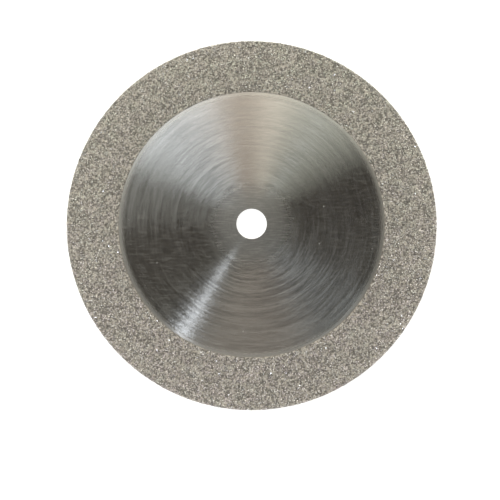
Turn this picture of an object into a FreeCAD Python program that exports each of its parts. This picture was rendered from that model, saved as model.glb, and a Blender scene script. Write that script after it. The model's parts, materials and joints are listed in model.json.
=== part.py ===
"""Diamond cutting disc for a small rotary tool, with a plain centre hole for a screw mandrel.

A thin round steel blank carries a band of diamond grit in plated nickel. The band covers the outer
part of both faces and wraps round the edge. Inside the band both faces of the blank are ground a
little thinner, so the polished web clears the cut, and a shallow cove leads from the web back up
to full thickness where the band starts.

Frame: millimetres, +Z along the spindle axis, origin on that axis halfway through the thickness.
"""

import os
from math import asin, cos, sin, sqrt

import FreeCAD
import Part

# Driving dimensions
OUTER_DIAMETER = 22.0  # over the grit
BORE_DIAMETER = 1.8  # clears the clamping screw of the mandrel
BAND_WIDTH = 3.1  # coated band on each face, from the outer edge inwards
BLANK_THICKNESS = 0.24  # steel under the band
RELIEF_DEPTH = 0.03  # ground off each face of the web
COVE_WIDTH = 0.32  # from the flat of the web to the start of the band
BORE_EDGE_BREAK = 0.02  # chamfer at both ends of the bore
BLANK_EDGE_BREAK = 0.05  # chamfer on the outer edge of the steel
COATING_THICKNESS = 0.08  # nickel and grit, up to the tips of the grains
LIP_WIDTH = 0.06  # slope up which the coating reaches its full thickness
BAND_EDGE_RADIUS = 0.13  # round on the outer edge of the band

# Sizes that follow from them
outer_radius = OUTER_DIAMETER / 2
bore_radius = BORE_DIAMETER / 2
band_inner_radius = outer_radius - BAND_WIDTH
blank_radius = outer_radius - COATING_THICKNESS
blank_top = BLANK_THICKNESS / 2
web_top = blank_top - RELIEF_DEPTH
web_flat_radius = band_inner_radius - COVE_WIDTH
band_top = blank_top + COATING_THICKNESS

# Where the two pieces meet, as (radius, height) in the upper half of the section
seat_start = (band_inner_radius, blank_top)
seat_end = (blank_radius - BLANK_EDGE_BREAK, blank_top)
blank_wall = (blank_radius, blank_top - BLANK_EDGE_BREAK)

CENTRE = FreeCAD.Vector(0, 0, 0)
SPINDLE_AXIS = FreeCAD.Vector(0, 0, 1)
FULL_TURN = 360.0


def point(radius, height):
    """A point of a half section, in the plane of the spindle axis and +X."""
    return FreeCAD.Vector(radius, 0, height)


def line(start, end):
    return Part.LineSegment(point(*start), point(*end)).toShape()


def arc(start, middle, end):
    return Part.Arc(point(*start), point(*middle), point(*end)).toShape()


def ground_cove(start, end):
    """Leaves the flat of the web tangentially and rises to the seat of the band."""
    width, rise = end[0] - start[0], end[1] - start[1]
    radius = (width**2 + rise**2) / (2 * rise)
    half_turn = asin(width / radius) / 2
    middle = (
        start[0] + radius * sin(half_turn),
        start[1] + radius * (1 - cos(half_turn)),
    )
    return arc(start, middle, end)


def quarter_round(top, wall):
    """Turns from a flat top out and down into the outer wall."""
    radius = wall[0] - top[0]
    middle = (
        top[0] + radius * sqrt(0.5),
        wall[1] + radius * sqrt(0.5),
    )
    return arc(top, middle, wall)


def turned(upper_edges, inner_end, outer_end):
    """Revolves an upper outline, its mirror image below the middle plane and the walls between."""
    lower_edges = [edge.mirror(CENTRE, SPINDLE_AXIS) for edge in upper_edges]
    walls = [line((wall, -top), (wall, top)) for wall, top in (inner_end, outer_end)]
    ordered = Part.__sortEdges__(upper_edges + lower_edges + walls)
    return Part.Face(Part.Wire(ordered)).revolve(CENTRE, SPINDLE_AXIS, FULL_TURN)


def make_steel_core():
    """The blank: bore, ground web, cove, the seat under the band and its broken edge."""
    bore_mouth = (bore_radius, web_top - BORE_EDGE_BREAK)
    web_start = (bore_radius + BORE_EDGE_BREAK, web_top)
    web_end = (web_flat_radius, web_top)
    outline = [
        line(bore_mouth, web_start),
        line(web_start, web_end),
        ground_cove(web_end, seat_start),
        line(seat_start, seat_end),
        line(seat_end, blank_wall),
    ]
    return turned(outline, bore_mouth, blank_wall)


def make_diamond_rim():
    """The band: a channel that fits over the edge of the blank, from lip to lip."""
    lip_top = (band_inner_radius + LIP_WIDTH, band_top)
    round_start = (outer_radius - BAND_EDGE_RADIUS, band_top)
    band_wall = (outer_radius, band_top - BAND_EDGE_RADIUS)
    outline = [
        line(blank_wall, seat_end),
        line(seat_end, seat_start),
        line(seat_start, lip_top),
        line(lip_top, round_start),
        quarter_round(round_start, band_wall),
    ]
    return turned(outline, blank_wall, band_wall)


def main():
    os.makedirs("parts", exist_ok=True)
    make_steel_core().exportStep("parts/steel_core.step")
    make_diamond_rim().exportStep("parts/diamond_rim.step")


main()
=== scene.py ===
"""The looks of the diamond cutting disc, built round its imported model.

The disc lies flat, front face up. Its steel blank and the nickel on it are turned sections, and the
grit is thousands of small crystals seated in the nickel, on both faces and round the edge.
Lengths are in metres, and angles in degrees where a name says so.
"""

import json
from math import asin, cos, hypot, pi, radians, sin

import bpy
import numpy as np
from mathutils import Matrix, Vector


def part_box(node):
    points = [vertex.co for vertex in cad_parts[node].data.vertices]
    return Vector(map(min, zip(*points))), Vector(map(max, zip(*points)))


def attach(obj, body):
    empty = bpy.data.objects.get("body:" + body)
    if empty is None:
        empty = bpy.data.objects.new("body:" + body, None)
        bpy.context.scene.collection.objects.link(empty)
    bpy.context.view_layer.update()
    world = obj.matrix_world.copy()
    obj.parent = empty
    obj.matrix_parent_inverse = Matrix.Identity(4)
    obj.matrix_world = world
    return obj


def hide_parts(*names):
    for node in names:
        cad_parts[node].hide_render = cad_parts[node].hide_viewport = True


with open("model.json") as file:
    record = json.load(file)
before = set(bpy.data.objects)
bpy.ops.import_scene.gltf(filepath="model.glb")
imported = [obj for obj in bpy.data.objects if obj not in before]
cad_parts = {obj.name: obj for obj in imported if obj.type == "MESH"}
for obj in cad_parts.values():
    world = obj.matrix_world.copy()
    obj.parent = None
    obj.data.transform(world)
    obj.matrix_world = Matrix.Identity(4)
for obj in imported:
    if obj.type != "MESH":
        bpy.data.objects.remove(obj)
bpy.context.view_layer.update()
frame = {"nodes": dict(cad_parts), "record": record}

MM = 0.001

# Sizes read from the frame
mounts = {mount["name"]: mount for mount in frame["record"]["mounts"]}
bore_radius = mounts["bore"]["dims"]["r_mm"] * MM
web_top = mounts["front_clamp_face"]["pos_m"][2]
blank_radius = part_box("steel_core")[1].x
blank_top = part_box("steel_core")[1].z
outer_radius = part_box("diamond_rim")[1].x
band_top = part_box("diamond_rim")[1].z
rim_vertices = frame["nodes"]["diamond_rim"].data.vertices
band_inner_radius = min(hypot(vertex.co.x, vertex.co.y) for vertex in rim_vertices)

# Section of the blank
COVE_WIDTH = 0.32 * MM
BORE_EDGE_BREAK = 0.02 * MM
BLANK_EDGE_BREAK = 0.05 * MM
WEB_RINGS = 8
COVE_STEPS = 10
STEEL_TURN_STEPS = 720

# The cove between the flat of the web and the seat of the band, an arc that is tangent to the web
cove_start = band_inner_radius - COVE_WIDTH
cove_rise = blank_top - web_top
cove_arc_radius = (COVE_WIDTH**2 + cove_rise**2) / (2 * cove_rise)

# Nickel and grit
BAND_EDGE_RADIUS = 0.13 * MM
NICKEL_DEPTH = 0.038 * MM  # from the tips of the grains down to the nickel between them
NICKEL_WAVINESS = 0.006 * MM
NICKEL_STEP = 0.13 * MM
NICKEL_TURN_STEPS = 540
NICKEL_LIP_SHARE = 0.6  # of the nickel's height at its inner end that is rounded off
NICKEL_LIP_STEPS = 4
NICKEL_EDGE_STEPS = 6
GRAIN_PITCH = 0.098 * MM
GRAIN_ROW_PITCH = 0.090 * MM
GRAIN_REACH = (0.036 * MM, 0.062 * MM)  # from the middle of a grain to its corners
GRAIN_SINK = 0.012 * MM  # how far below the tallest tips the lowest ones may end
GRAIN_SCATTER = 0.22  # of the pitch
GRAIN_WARP = 0.22  # of the reach
SEED = 22

# Marks that run round the axis: how often each kind changes, per metre of radius and per radian
RINGS = (7000.0, 1.0)
SCRATCHES = (14000.0, 8.0)
ARCS = (12000.0, 20.0)  # bend the marks
STREAKS = (9000.0, 2.5)  # vary the roughness
MARK_DETAIL = 3.0

# Finish of the steel. A scale is how often something changes per metre, and the shade is a base
# to which the marks and a fine mottle each add their part.
NOISE_SPAN = (0.35, 0.65)  # between these lie most values of a noise
MARK_DEPTH = 0.001 * MM
MARK_SHADE = 0.3
STEEL_MOTTLE_SCALE = 9000.0
STEEL_MOTTLE_SHADE = 0.16
BASE_SHADE = 0.62
WEB_LEAN = 0.05  # slope of the face's normals away from the axis
WANDER_SCALE = 10000.0
WANDER = 0.27  # largest slope of a mark against a true circle
STEEL_ROUGHNESS = (0.193, 0.25)
STEEL_ANISOTROPY = 0.975
SATIN_ROUGHNESS = 0.55
BORE_SATIN_RADII = (1.2 * MM, 3.2 * MM)
BORE_SATIN_SHARE = 0.9
# In the cove the pale satin is partly a painted highlight, standing in for the light the cove's slope
# catches
COVE_SATIN_AND_SHEEN_WIDTH = 1.3 * COVE_WIDTH
COVE_SATIN_AND_SHEEN_SHARE = 0.38
SPECK_SCALE = 800.0
SPECK_RADII = (0.02, 0.035)  # its core and its faded rim, in units of the space between specks
SPECK_SHARE = 0.5
HAIRLINE_SCALES = (1300.0, 13000.0, 1.0)  # along X, Y and Z, so they are drawn out along X
HAIRLINE_SPAN = (0.45, 0.75)
HAIRLINE_SHARE = 0.11

# Finish of the nickel and of the grains
NICKEL_MOTTLE_SCALE = 9000.0
NICKEL_MOTTLE_DEPTH = 0.006 * MM
NICKEL_ROUGHNESS = 0.85
GRAIN_SHADE_POWER = 1.4  # above one, so that dark grains outnumber pale ones
GRAIN_ROUGHNESS = 0.12
DIAMOND_IOR = 2.42
PATCH_SCALE = 1400.0
# Painted highlight: the grains' colour is raised towards the outer edge, standing in for the light
# caught there
PAINTED_EDGE_HIGHLIGHT = (0.91, 1.08)  # from the inner edge of the band to its outer edge

# Colours
BRIGHT_STEEL = (0.55, 0.545, 0.53)
DARK_SATIN = (0.25, 0.245, 0.23)
# Pale satin for specks and hairlines, and in the cove also a painted highlight
PALE_SATIN_AND_SHEEN = (0.77, 0.75, 0.69)
# Painted shade: the colour of the nickel's hollows
NICKEL_SHADED_HOLLOWS = (0.27, 0.252, 0.222)
NICKEL_TOPS = (0.7, 0.658, 0.585)
DARKEST_GRAIN = (0.165, 0.155, 0.134)
PALEST_GRAIN = (0.98, 0.937, 0.857)
PATCH_TINTS = ((1.02, 0.975, 1.0), (0.985, 1.01, 0.965))
# Painted light: a tint of the light falling on the grit, drifting across the disc
SIDE_LIGHT_TINTS = ((1.02, 0.99, 1.045), (0.98, 1.005, 0.965))  # from the -Y to the +Y side
FLOOR_PAINT = (0.8, 0.8, 0.79)
FLOOR_GLOW = (1.0, 1.0, 0.985)
BLACK_CARD = (0.070, 0.064, 0.055)
PALE_ROOM = (1.0, 1.0, 0.99)

# Camera, with the disc's place and size in the picture as they would be in the plane it aims at
PICTURE_PX = 500
OUTER_RADIUS_PX = 186.2
DISC_CENTRE_PX = (251.1, 223.0)
CAMERA_DISTANCE = 45 * MM
CAMERA_LEAN_DEG = 2.5
SENSOR_WIDTH_MM = 36.0

# Where each lamp is and how large is given in units of the height that they hang at
LAMP_HEIGHT = 0.2
LAMP_STEP = 0.002
LAMP_POWER = 4  # per unit of radiance and of area
CARD_HEIGHT = 0.26
CARD_HALF_WIDTH = 0.45
FLOOR_HALF_WIDTH = 3.0
FLOOR_GLOW_STRENGTH = 0.75
ROOM_STRENGTH = 1.3

rng = np.random.default_rng(SEED)


def mesh_object(name, places, faces, smooth_under_deg=None):
    """A mesh in the scene, flat shaded unless it says up to which angle its edges look smooth."""
    mesh = bpy.data.meshes.new(name)
    mesh.from_pydata(places.tolist(), [], faces.tolist())
    if smooth_under_deg is not None:
        mesh.shade_smooth()
        mesh.set_sharp_from_angle(angle=radians(smooth_under_deg))
    made = bpy.data.objects.new(name, mesh)
    bpy.context.scene.collection.objects.link(made)
    return made


def whole_section(upper):
    """A closed section from its upper half, which ends at the outer wall."""
    upper = np.array(upper)
    return np.concatenate([upper, upper[::-1] * (1, -1)])


def turned(section, steps, lift=0.0):
    """Vertices and quads of a closed section of (radius, height) points round the spindle axis."""
    turns = np.linspace(0, 2 * pi, steps, endpoint=False)[:, None]
    radius = section[:, 0]
    height = np.tile(section[:, 1], (steps, 1)) + lift
    places = np.stack([np.cos(turns) * radius, np.sin(turns) * radius, height], axis=-1)
    here = np.arange(steps * len(section)).reshape(steps, -1)
    ahead = np.roll(here, -1, axis=0)
    quads = np.stack(
        [here, np.roll(here, -1, axis=1), np.roll(ahead, -1, axis=1), ahead], axis=-1
    )
    return places.reshape(-1, 3), quads.reshape(-1, 4)


def arc_points(centre, radius, start_deg, end_deg, steps):
    turns = np.radians(np.linspace(start_deg, end_deg, steps + 1))
    return [(centre[0] + radius * cos(turn), centre[1] + radius * sin(turn)) for turn in turns]


def cove_points():
    centre = (cove_start, web_top + cove_arc_radius)
    end_deg = -90 + np.degrees(asin(COVE_WIDTH / cove_arc_radius))
    return arc_points(centre, cove_arc_radius, -90, end_deg, COVE_STEPS)


def make_steel_disc():
    web_start = bore_radius + BORE_EDGE_BREAK
    web = [(radius, web_top) for radius in np.linspace(web_start, cove_start, WEB_RINGS + 1)[1:-1]]
    upper = [
        (bore_radius, web_top - BORE_EDGE_BREAK),
        (web_start, web_top),
        (web_start + BORE_EDGE_BREAK, web_top),
        *web,
        (cove_start - BORE_EDGE_BREAK, web_top),
        *cove_points(),
        (blank_radius - BLANK_EDGE_BREAK, blank_top),
        (blank_radius, blank_top - BLANK_EDGE_BREAK),
    ]
    places, quads = turned(whole_section(upper), STEEL_TURN_STEPS)
    return mesh_object("steel_disc", places, quads, smooth_under_deg=20)


def make_nickel_bond():
    """The plating between the grains: a channel over the edge of the blank, a little uneven."""
    top = band_top - NICKEL_DEPTH
    wall = outer_radius - NICKEL_DEPTH
    lip_radius = NICKEL_LIP_SHARE * (top - blank_top)
    lip_centre = (band_inner_radius + lip_radius, top - lip_radius)
    lip = arc_points(lip_centre, lip_radius, 180, 90, NICKEL_LIP_STEPS)
    edge_radius = BAND_EDGE_RADIUS - NICKEL_DEPTH
    edge_centre = (wall - edge_radius, top - edge_radius)
    edge = arc_points(edge_centre, edge_radius, 90, 0, NICKEL_EDGE_STEPS)
    start, end = lip[-1][0], edge[0][0]
    rings = int((end - start) / NICKEL_STEP)
    face = [(radius, top) for radius in np.linspace(start, end, rings)[1:-1]]
    inside = [
        (blank_radius, blank_top - BLANK_EDGE_BREAK),
        (blank_radius - BLANK_EDGE_BREAK, blank_top),
        (band_inner_radius, blank_top),
    ]
    section = whole_section(inside + lip + face + edge)
    lift = rng.uniform(-NICKEL_WAVINESS, NICKEL_WAVINESS, (NICKEL_TURN_STEPS, len(section)))
    on_a_face = np.isclose(abs(section[:, 1]), top)
    places, quads = turned(section, NICKEL_TURN_STEPS, np.where(on_a_face, lift, 0.0))
    return mesh_object("nickel_bond", places, quads, smooth_under_deg=60)


def random_turns(count):
    """Rotation matrices spread evenly over all orientations."""
    q = rng.normal(size=(count, 4))
    w, x, y, z = (q / np.linalg.norm(q, axis=1)[:, None]).T
    rows = [
        [1 - 2 * (y * y + z * z), 2 * (x * y - w * z), 2 * (x * z + w * y)],
        [2 * (x * y + w * z), 1 - 2 * (x * x + z * z), 2 * (y * z - w * x)],
        [2 * (x * z - w * y), 2 * (y * z + w * x), 1 - 2 * (x * x + y * y)],
    ]
    return np.moveaxis(np.array(rows), -1, 0)


# The surface through the tips of the grains, measured along its section from the middle of the
# outer wall, with distances to the front positive and to the back negative
half_wall = band_top - BAND_EDGE_RADIUS
edge_end = half_wall + BAND_EDGE_RADIUS * pi / 2
face_end = edge_end + outer_radius - BAND_EDGE_RADIUS - band_inner_radius - GRAIN_REACH[0]


def envelope(distance):
    """Radius and height of that surface, and its outward direction as (radial, upward)."""
    side = np.where(distance < 0, -1.0, 1.0)
    distance = abs(distance)
    turn = np.clip((distance - half_wall) / BAND_EDGE_RADIUS, 0, pi / 2)
    inwards = np.maximum(distance - edge_end, 0)
    radius = outer_radius - BAND_EDGE_RADIUS * (1 - np.cos(turn)) - inwards
    height = side * (np.minimum(distance, half_wall) + BAND_EDGE_RADIUS * np.sin(turn))
    return radius, height, np.cos(turn), side * np.sin(turn)


def grain_spots(start, end):
    """Distance and turn of each grain, in rows round the axis that are then scattered."""
    row_count = round(abs(end - start) / GRAIN_ROW_PITCH)
    distances, turns = [], []
    for row in start + (np.arange(row_count) + 0.5) * (end - start) / row_count:
        radius = envelope(row)[0]
        count = int(2 * pi * radius / GRAIN_PITCH)
        even = 2 * pi * (np.arange(count) + rng.uniform()) / count
        turns.append(even + rng.normal(0, GRAIN_SCATTER * GRAIN_PITCH / radius, count))
        distances.append(row + rng.normal(0, GRAIN_SCATTER * GRAIN_ROW_PITCH, count))
    distances = np.clip(np.concatenate(distances), -face_end, face_end)
    return distances, np.concatenate(turns)


def grain_shapes(count):
    """Corners of eight-sided crystals about their own middle, each warped and turned its own way."""
    corners = np.array([(-1, 0, 0), (1, 0, 0), (0, -1, 0), (0, 1, 0), (0, 0, -1), (0, 0, 1)])
    warp = rng.uniform(-GRAIN_WARP, GRAIN_WARP, (count, len(corners), 3))
    reach = rng.uniform(*GRAIN_REACH, (count, 1, 3))
    return np.einsum("nij,nkj->nki", random_turns(count), (corners + warp) * reach)


def make_grains(name, start, end):
    """Grains over one stretch of the surface that their tips reach, each pushed in below it."""
    distances, turns = grain_spots(start, end)
    radius, height, radial, upward = envelope(distances)
    across, along = np.cos(turns), np.sin(turns)
    spots = np.stack([radius * across, radius * along, height], axis=-1)
    outwards = np.stack([radial * across, radial * along, upward], axis=-1)
    grains = grain_shapes(len(spots))
    depth = np.einsum("nki,ni->nk", grains, outwards).max(axis=1)
    depth += rng.uniform(0, GRAIN_SINK, len(spots))
    grains += (spots - outwards * depth[:, None])[:, None]
    keep_inside(grains)

    # The four faces round the last corner, and the four opposite ones round the one before it
    above = [(1, 3, 5), (3, 0, 5), (0, 2, 5), (2, 1, 5)]
    below = [(b, a, 4) for a, b, _ in above]
    first_corners = grains.shape[1] * np.arange(len(grains))
    triangles = np.array(above + below) + first_corners[:, None, None]
    return mesh_object(name, grains.reshape(-1, 3), triangles.reshape(-1, 3))


def keep_inside(grains):
    """Pushes a grain back in where a corner would stand out past the edge or a face."""
    reach = np.hypot(grains[..., 0], grains[..., 1])
    beyond = np.maximum(reach.max(axis=1) / outer_radius, 1.0)
    grains[..., :2] /= beyond[:, None, None]
    grains[..., 2] -= np.maximum(grains[..., 2].max(axis=1) - band_top, 0)[:, None]
    grains[..., 2] -= np.minimum(grains[..., 2].min(axis=1) + band_top, 0)[:, None]


class Tree:
    """A small helper that adds nodes to a material or world and links their inputs."""

    def __init__(self, owner):
        owner.use_nodes = True
        self.nodes = owner.node_tree.nodes
        self.links = owner.node_tree.links
        self.nodes.clear()

    def add(self, kind, inputs=None, **settings):
        """Adds a node and gives its outputs. Each input is a value or another node's output."""
        node = self.nodes.new(kind)
        for name, value in settings.items():
            setattr(node, name, value)
        for name, value in (inputs or {}).items():
            socket = node.inputs[name]
            if isinstance(value, bpy.types.NodeSocket):
                self.links.new(value, socket)
            elif socket.type == "RGBA":
                socket.default_value = (*value, 1.0)
            else:
                socket.default_value = value
        return node.outputs

    def math(self, operation, first, second):
        return self.add("ShaderNodeMath", {0: first, 1: second}, operation=operation)[0]

    def vector(self, operation, first, second=(0, 0, 0)):
        inputs = {0: first, 1: second}
        return self.add("ShaderNodeVectorMath", inputs, operation=operation)["Vector"]

    def scaled(self, vector, scale):
        inputs = {0: vector, "Scale": scale}
        return self.add("ShaderNodeVectorMath", inputs, operation="SCALE")["Vector"]

    def length(self, vector):
        return self.add("ShaderNodeVectorMath", {0: vector}, operation="LENGTH")["Value"]

    def noise(self, place, scale, detail):
        inputs = {"Vector": place, "Scale": scale, "Detail": detail}
        return self.add("ShaderNodeTexNoise", inputs)["Fac"]

    def ramp(self, value, low, high, to_low=0.0, to_high=1.0):
        """A smooth change from one value to another, flat on both sides of it."""
        inputs = {
            "Value": value,
            "From Min": low,
            "From Max": high,
            "To Min": to_low,
            "To Max": to_high,
        }
        return self.add("ShaderNodeMapRange", inputs, interpolation_type="SMOOTHSTEP")["Result"]

    def mix(self, share, first, second):
        """Two colours mixed by the share of the second."""
        # Inputs 6 and 7 and output 2 are this node's colours
        return self.add("ShaderNodeMix", {0: share, 6: first, 7: second}, data_type="RGBA")[2]

    def bump(self, height, depth, **more):
        inputs = {"Strength": 1.0, "Distance": depth, "Height": height, **more}
        return self.add("ShaderNodeBump", inputs)["Normal"]

    def blend(self, share, first, second):
        """Two shaders mixed by the share of the second."""
        return self.add("ShaderNodeMixShader", {0: share, 1: first, 2: second})[0]

    def polar(self):
        """Place on the object, distance from the spindle axis and direction away from it."""
        place = self.add("ShaderNodeTexCoord")["Object"]
        flat = self.vector("MULTIPLY", place, (1, 1, 0))
        return place, self.length(flat), self.vector("NORMALIZE", flat)


def new_material(name):
    material = bpy.data.materials.new(name)
    return material, Tree(material)


def ring_noise(tree, radius, outwards, across, along):
    """Noise drawn out round the axis. Its last two arguments say how often it changes, per metre of
    radius and per radian."""
    place = tree.vector("ADD", tree.scaled((0, 0, across), radius), tree.scaled(outwards, along))
    return tree.noise(place, 1.0, MARK_DETAIL)


def grinding_marks(tree, radius, outwards):
    rings = ring_noise(tree, radius, outwards, *RINGS)
    scratches = ring_noise(tree, radius, outwards, *SCRATCHES)
    return tree.math("MULTIPLY", tree.math("ADD", rings, scratches), MARK_SHADE)


def marked_normal(tree, radius, outwards, marks):
    """The normal of the grinding marks on a face that leans outwards a little, and that carries on
    through the cove as if it were flat."""
    into_cove = tree.math("MAXIMUM", tree.math("SUBTRACT", radius, cove_start), 0.0)
    cove_slope = tree.math("MULTIPLY", into_cove, 1 / cove_arc_radius)
    lean = tree.math("ADD", cove_slope, WEB_LEAN)
    normal = tree.add("ShaderNodeNewGeometry")["Normal"]
    normal = tree.vector("ADD", normal, tree.scaled(outwards, lean))
    return tree.bump(marks, MARK_DEPTH, Normal=tree.vector("NORMALIZE", normal))


def across_marks(tree, place, radius, outwards):
    """The direction across the grinding marks, which wander a little from true circles."""
    arcs = ring_noise(tree, radius, outwards, *ARCS)
    both = tree.math("ADD", arcs, tree.noise(place, WANDER_SCALE, detail=1.0))
    # Each of the two noises is one half on average
    wander = tree.math("MULTIPLY", tree.math("SUBTRACT", both, 1.0), WANDER)
    around = tree.vector("CROSS_PRODUCT", outwards, (0, 0, 1))
    return tree.vector("ADD", outwards, tree.scaled(around, wander))


def satin(tree, colour, shade, normal):
    """Steel with a soft sheen, the same in all directions."""
    inputs = {
        "Base Color": tree.scaled(colour, shade),
        "Metallic": 1.0,
        "Roughness": SATIN_ROUGHNESS,
        "Normal": normal,
    }
    return tree.add("ShaderNodeBsdfPrincipled", inputs)[0]


def pale_share(tree, place, radius):
    """How much of the steel is pale satin: in the cove, where it is also a painted highlight, in a
    few specks and in straight hairlines.
    """
    cove_edge = band_inner_radius - COVE_SATIN_AND_SHEEN_WIDTH
    cove_satin_and_sheen = tree.ramp(radius, cove_edge, band_inner_radius, 0.0, COVE_SATIN_AND_SHEEN_SHARE)
    cells = tree.add("ShaderNodeTexVoronoi", {"Vector": place, "Scale": SPECK_SCALE})
    specks = tree.ramp(cells["Distance"], *SPECK_RADII, SPECK_SHARE, 0.0)
    drawn_out = tree.vector("MULTIPLY", place, HAIRLINE_SCALES)
    hairs = tree.noise(drawn_out, 1.0, detail=1.0)
    hairlines = tree.ramp(hairs, *HAIRLINE_SPAN, 0.0, HAIRLINE_SHARE)
    return tree.math("MAXIMUM", cove_satin_and_sheen, tree.math("MAXIMUM", specks, hairlines))


def ground_steel():
    """Steel ground in circles round the bore: light fans out across the marks, not along them.
    Round the bore the marks give way to dark satin, and a share of the rest is pale satin, which in
    the cove is also a painted highlight."""
    material, tree = new_material("ground_steel")
    place, radius, outwards = tree.polar()
    marks = grinding_marks(tree, radius, outwards)
    mottle = tree.noise(place, STEEL_MOTTLE_SCALE, detail=1.0)
    mottle = tree.math("MULTIPLY", mottle, STEEL_MOTTLE_SHADE)
    shade = tree.math("ADD", tree.math("ADD", marks, mottle), BASE_SHADE)
    normal = marked_normal(tree, radius, outwards, marks)
    streaks = ring_noise(tree, radius, outwards, *STREAKS)
    inputs = {
        "Base Color": tree.scaled(BRIGHT_STEEL, shade),
        "Metallic": 1.0,
        "Roughness": tree.ramp(streaks, *NOISE_SPAN, *STEEL_ROUGHNESS),
        "Anisotropic": STEEL_ANISOTROPY,
        "Tangent": across_marks(tree, place, radius, outwards),
        "Normal": normal,
    }
    bright = tree.add("ShaderNodeBsdfPrincipled", inputs)[0]
    near_bore = tree.ramp(radius, *BORE_SATIN_RADII, BORE_SATIN_SHARE, 0.0)
    shader = tree.blend(near_bore, bright, satin(tree, DARK_SATIN, shade, normal))
    pale = pale_share(tree, place, radius)
    shader = tree.blend(pale, shader, satin(tree, PALE_SATIN_AND_SHEEN, shade, normal))
    tree.add("ShaderNodeOutputMaterial", {"Surface": shader})
    return material


def nickel():
    """Dull plating, mottled, and painted darker where its bump sinks, as painted shade in its
    hollows.
    """
    material, tree = new_material("nickel_bond")
    place = tree.add("ShaderNodeTexCoord")["Object"]
    mottle = tree.noise(place, NICKEL_MOTTLE_SCALE, detail=3.0)
    inputs = {
        # Painted shade: the colour darkens where the mottle's bump sinks
        "Base Color": tree.mix(tree.ramp(mottle, *NOISE_SPAN), NICKEL_SHADED_HOLLOWS, NICKEL_TOPS),
        "Metallic": 1.0,
        "Roughness": NICKEL_ROUGHNESS,
        "Normal": tree.bump(mottle, NICKEL_MOTTLE_DEPTH),
    }
    shader = tree.add("ShaderNodeBsdfPrincipled", inputs)[0]
    tree.add("ShaderNodeOutputMaterial", {"Surface": shader})
    return material


def diamond():
    """Grains from dark to pale, each one its own shade. Their tint drifts in patches, and across the
    disc as a painted tint of light; towards its edge they are painted paler, a painted highlight."""
    material, tree = new_material("diamond_grains")
    place, radius, _ = tree.polar()
    shade = tree.add("ShaderNodeNewGeometry")["Random Per Island"]
    shade = tree.math("POWER", shade, GRAIN_SHADE_POWER)
    grey = tree.mix(shade, DARKEST_GRAIN, PALEST_GRAIN)
    patches = tree.ramp(tree.noise(place, PATCH_SCALE, detail=2.0), *NOISE_SPAN)
    # Painted light: the grit's colour is tinted from one side of the disc to the other
    side = tree.add("ShaderNodeSeparateXYZ", {0: place})["Y"]
    side = tree.ramp(side, -outer_radius, outer_radius)
    tint_and_side_light = tree.vector("MULTIPLY", tree.mix(patches, *PATCH_TINTS), tree.mix(side, *SIDE_LIGHT_TINTS))
    # Painted highlight: the grains are made paler towards the outer edge
    painted_edge_highlight = tree.ramp(radius, band_inner_radius, outer_radius, *PAINTED_EDGE_HIGHLIGHT)
    colour = tree.scaled(tree.vector("MULTIPLY", grey, tint_and_side_light), painted_edge_highlight)
    inputs = {
        "Base Color": tree.vector("MINIMUM", colour, (1, 1, 1)),
        "Metallic": 0.0,
        "Roughness": GRAIN_ROUGHNESS,
        "IOR": DIAMOND_IOR,
    }
    shader = tree.add("ShaderNodeBsdfPrincipled", inputs)[0]
    tree.add("ShaderNodeOutputMaterial", {"Surface": shader})
    return material


def flat_square(name, half_width, height, facing_down=False):
    corners = [(-1, -1), (1, -1), (1, 1), (-1, 1)]
    places = np.array([(x * half_width, y * half_width, height) for x, y in corners])
    order = (3, 2, 1, 0) if facing_down else (0, 1, 2, 3)
    return mesh_object(name, places, np.array([order]))


def seen_share(tree, share):
    """The share for what the camera sees, directly, in a reflection or through something clear."""
    rays = tree.add("ShaderNodeLightPath")
    seen = tree.math("MAXIMUM", rays["Is Camera Ray"], rays["Is Glossy Ray"])
    seen = tree.math("MAXIMUM", seen, rays["Is Transmission Ray"])
    return tree.math("MULTIPLY", seen, share)


def make_floor():
    """White to the camera and in reflections, and clear from below."""
    floor = flat_square("floor", FLOOR_HALF_WIDTH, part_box("diamond_rim")[0].z)
    material, tree = new_material("floor")
    paint = tree.add("ShaderNodeBsdfDiffuse", {"Color": FLOOR_PAINT})[0]
    strength = seen_share(tree, FLOOR_GLOW_STRENGTH)
    glow = tree.add("ShaderNodeEmission", {"Color": FLOOR_GLOW, "Strength": strength})[0]
    white = tree.add("ShaderNodeAddShader", {0: paint, 1: glow})[0]
    clear = tree.add("ShaderNodeBsdfTransparent")[0]
    under = tree.add("ShaderNodeNewGeometry")["Backfacing"]
    tree.add("ShaderNodeOutputMaterial", {"Surface": tree.blend(under, white, clear)})
    floor.data.materials.append(material)


def make_dark_card():
    """A black card over the lamps, so that the steel reflects only the lamps from above."""
    card = flat_square("dark_card", CARD_HALF_WIDTH, CARD_HEIGHT, facing_down=True)
    material, tree = new_material("black_card")
    shader = tree.add("ShaderNodeBsdfDiffuse", {"Color": BLACK_CARD})[0]
    tree.add("ShaderNodeOutputMaterial", {"Surface": shader})
    card.data.materials.append(material)
    card.visible_camera = False


def make_world():
    world = bpy.data.worlds.new("pale_room")
    bpy.context.scene.world = world
    tree = Tree(world)
    shader = tree.add("ShaderNodeBackground", {"Color": PALE_ROOM, "Strength": ROOM_STRENGTH})[0]
    tree.add("ShaderNodeOutputWorld", {"Surface": shader})


def make_lamp(name, azimuth_deg, out, length, width, radiance, colour):
    """A flat lamp facing down, just above the one before it, so that they may overlap.
    Its length points away from the disc, its width lies across."""
    level = 1 + LAMP_STEP * len(bpy.data.lights)
    data = bpy.data.lights.new(name, "AREA")
    data.shape = "RECTANGLE"
    data.size = length * LAMP_HEIGHT
    data.size_y = width * LAMP_HEIGHT
    data.color = colour
    data.energy = LAMP_POWER * radiance * data.size * data.size_y
    lamp = bpy.data.objects.new(name, data)
    turn = radians(azimuth_deg)
    lamp.location = Vector((out * cos(turn), out * sin(turn), level)) * LAMP_HEIGHT
    lamp.rotation_euler = (0, 0, turn)
    lamp.visible_camera = False
    bpy.context.scene.collection.objects.link(lamp)


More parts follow.
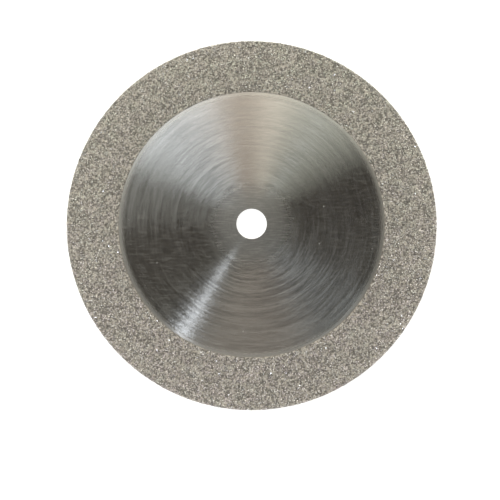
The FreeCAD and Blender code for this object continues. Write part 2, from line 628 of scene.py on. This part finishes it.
def make_lamps():
    make_lamp("window", 96, 1.4, 1.1, 1.1, 2.45, (1.0, 0.89, 0.74))
    make_lamp("window_right", 64, 1.1, 1.45, 0.4, 0.9, (0.97, 1.0, 0.87))
    make_lamp("overhead", 90, 0.43, 0.32, 0.2, 0.7, (1.0, 0.85, 0.72))
    make_lamp("tube_left", 124, 0.8, 0.7, 0.45, 2.0, (0.91, 0.96, 1.0))
    make_lamp("glow_left", 150, 1.07, 0.78, 0.75, 1.3, (0.96, 1.0, 0.95))
    make_lamp("far_left", 185, 1.1, 0.9, 1.2, 0.18, (1.0, 0.86, 0.74))
    make_lamp("strip", 234, 1.1, 1.0, 0.03, 36.0, (0.86, 0.92, 1.0))
    make_lamp("low_fill", 268, 0.7, 0.9, 0.5, 0.32, (1.0, 0.9, 0.8))
    make_lamp("low_right", 315, 1.2, 0.85, 0.7, 1.2, (0.86, 0.97, 1.0))


def make_camera():
    """Close above the disc and leaning a little, so that the disc lies in the picture as
    photographed."""
    px = outer_radius / OUTER_RADIUS_PX
    middle_px = (PICTURE_PX - 1) / 2
    aim = Vector(
        (
            (middle_px - DISC_CENTRE_PX[0]) * px,
            (DISC_CENTRE_PX[1] - middle_px) * px,
            band_top,
        )
    )
    lean = radians(CAMERA_LEAN_DEG)
    back = Vector((0, -sin(lean), cos(lean)))
    data = bpy.data.cameras.new("camera")
    data.sensor_width = SENSOR_WIDTH_MM
    data.lens = SENSOR_WIDTH_MM * CAMERA_DISTANCE / (PICTURE_PX * px)
    data.clip_start = 1 * MM
    camera = bpy.data.objects.new("camera", data)
    camera.location = aim + back * CAMERA_DISTANCE
    camera.rotation_mode = "QUATERNION"
    camera.rotation_quaternion = (-back).to_track_quat("-Z", "Y")
    bpy.context.scene.collection.objects.link(camera)
    bpy.context.scene.camera = camera


def dress(piece, material, slot, *nodes):
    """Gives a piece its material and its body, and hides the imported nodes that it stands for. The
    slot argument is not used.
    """
    piece.data.materials.append(material)
    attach(piece, "root")
    if nodes:
        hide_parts(*nodes)


make_camera()
dress(make_steel_disc(), ground_steel(), "ground_steel", "steel_core")
dress(make_nickel_bond(), nickel(), "diamond_grit", "diamond_rim")
grit = diamond()
dress(make_grains("grains_front", edge_end, face_end), grit, "diamond_grit")
dress(make_grains("grains_back", -edge_end, -face_end), grit, "diamond_grit")
dress(make_grains("grains_edge", -edge_end, edge_end), grit, "diamond_grit")
make_floor()
make_dark_card()
make_world()
make_lamps()
bpy.context.scene.view_settings.view_transform = "Standard"
